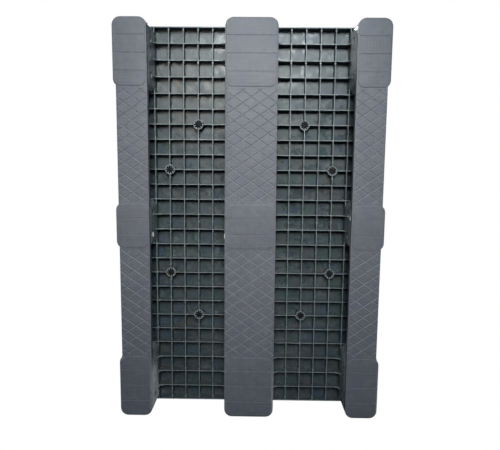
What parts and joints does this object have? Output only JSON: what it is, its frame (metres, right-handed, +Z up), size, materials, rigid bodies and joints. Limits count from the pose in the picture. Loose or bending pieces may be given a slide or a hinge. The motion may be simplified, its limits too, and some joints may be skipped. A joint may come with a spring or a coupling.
{
  "type": "plastic pallet",
  "caption": "Four-way plastic pallet with a closed deck, ribbed underside, hollow legs and clip-fitted lengthwise runners.",
  "frame": {"origin": "on the floor, under the middle of the pallet", "axes": "+X to the right across the pallet, +Y along its length towards the rear end, +Z up"},
  "size_m": [0.8, 1.2, 0.151],
  "materials": {
    "deck_plastic": "matte, moulded recycled plastic with a faint grain",
    "runner_plastic": "matte, moulded recycled plastic with a grained sole and incised diamond lines",
    "plug_rubber": "matt soft rubber"
  },
  "bodies": {
    "root": {"deck_plate": "deck_plastic", "deck_rim": "deck_plastic", "channel_ribs_left": "deck_plastic", "channel_ribs_right": "deck_plastic", "side_ribs_left": "deck_plastic", "side_ribs_right": "deck_plastic", "middle_ribs": "deck_plastic", "leg_front_left": "deck_plastic", "leg_front_middle": "deck_plastic", "leg_front_right": "deck_plastic", "leg_centre_left": "deck_plastic", "leg_centre_middle": "deck_plastic", "leg_centre_right": "deck_plastic", "leg_rear_left": "deck_plastic", "leg_rear_middle": "deck_plastic", "leg_rear_right": "deck_plastic", "runner_left": "runner_plastic", "runner_middle": "runner_plastic", "runner_right": "runner_plastic", "grip_plug_1": "plug_rubber", "grip_plug_2": "plug_rubber", "grip_plug_3": "plug_rubber", "grip_plug_4": "plug_rubber", "grip_plug_5": "plug_rubber", "grip_plug_6": "plug_rubber", "grip_plug_7": "plug_rubber", "grip_plug_8": "plug_rubber"}
  },
  "joints": []
}
